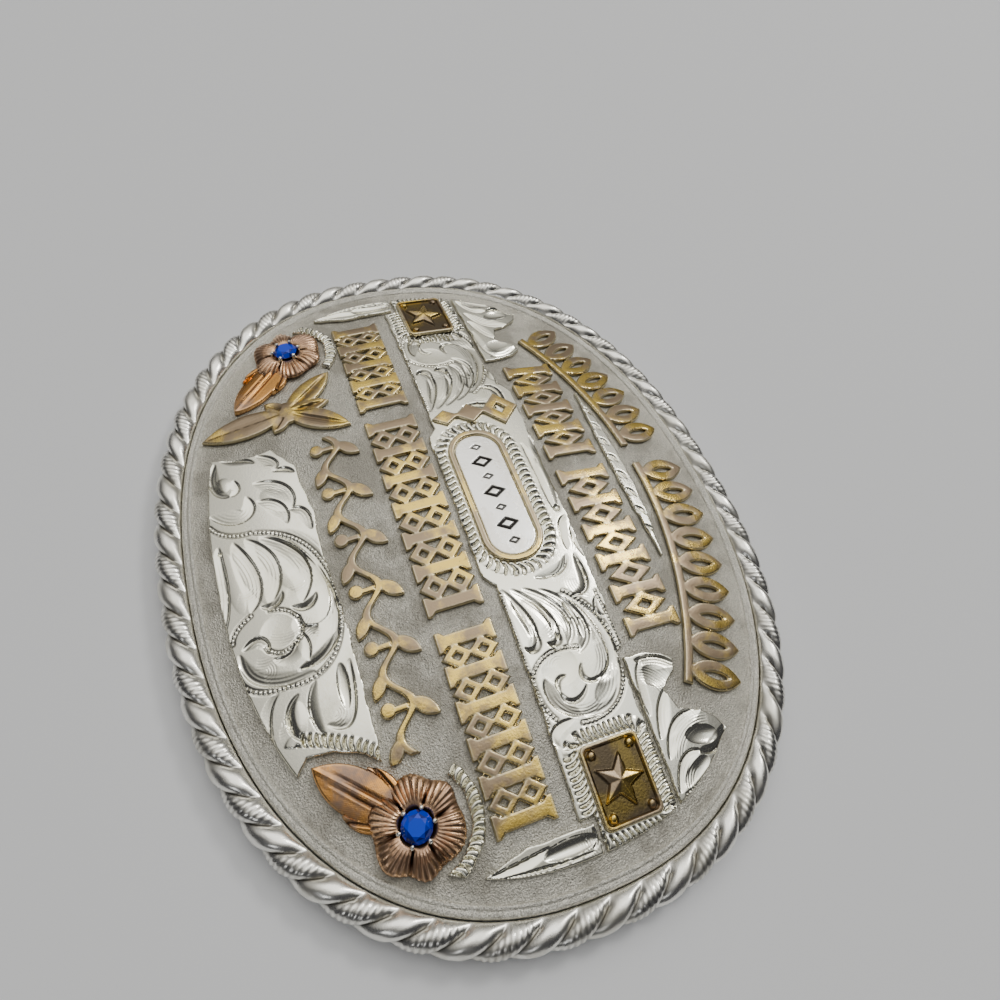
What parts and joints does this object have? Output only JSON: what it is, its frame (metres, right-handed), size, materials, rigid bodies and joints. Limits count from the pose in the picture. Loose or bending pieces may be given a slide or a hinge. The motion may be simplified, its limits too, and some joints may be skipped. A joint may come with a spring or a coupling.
{
  "type": "western trophy buckle",
  "caption": "Domed oval silver belt buckle with a twisted rope edge, engraved scroll panels, brass ornament strips, copper flowers with blue stones, belt loop and post behind.",
  "frame": {"origin": "middle of the buckle's outline on the plane that its back rim rests on", "axes": "+X along the buckle towards the wearer's left as it is worn, +Y up as it is worn, +Z out of the face"},
  "size_m": [0.0952, 0.075, 0.0087],
  "materials": {
    "matte_silver": "sand-textured matte silver",
    "polished_silver": "bright engraved silver",
    "brass": "satin with brown tarnish and bright edges",
    "copper": "satin rose copper",
    "blue_stone": "clear cut stone",
    "nickel_back": "plain satin"
  },
  "bodies": {
    "root": {"face_plate": "matte_silver", "rope_edge": "polished_silver", "panel_middle": "polished_silver", "panel_corner_left": "polished_silver", "panel_corner_right": "polished_silver", "panel_top": "polished_silver", "panel_lower": "polished_silver", "panel_side_left": "polished_silver", "panel_side_right": "polished_silver", "panel_flower_left": "polished_silver", "panel_flower_right": "polished_silver", "strip_arc_left": "brass", "strip_arc_right": "brass", "strip_upper_left": "brass", "strip_upper_right": "brass", "strip_long_left": "brass", "strip_long_middle": "brass", "strip_long_right": "brass", "vine_ornament": "brass", "leaf_ornament": "brass", "lozenge_chain": "brass", "label_rim": "brass", "label_plate": "polished_silver", "end_plate_left": "brass", "end_plate_right": "brass", "flower_left": "copper", "flower_right": "copper", "stone_left": "blue_stone", "stone_right": "blue_stone", "belt_loop": "nickel_back", "belt_post": "nickel_back"}
  },
  "joints": []
}
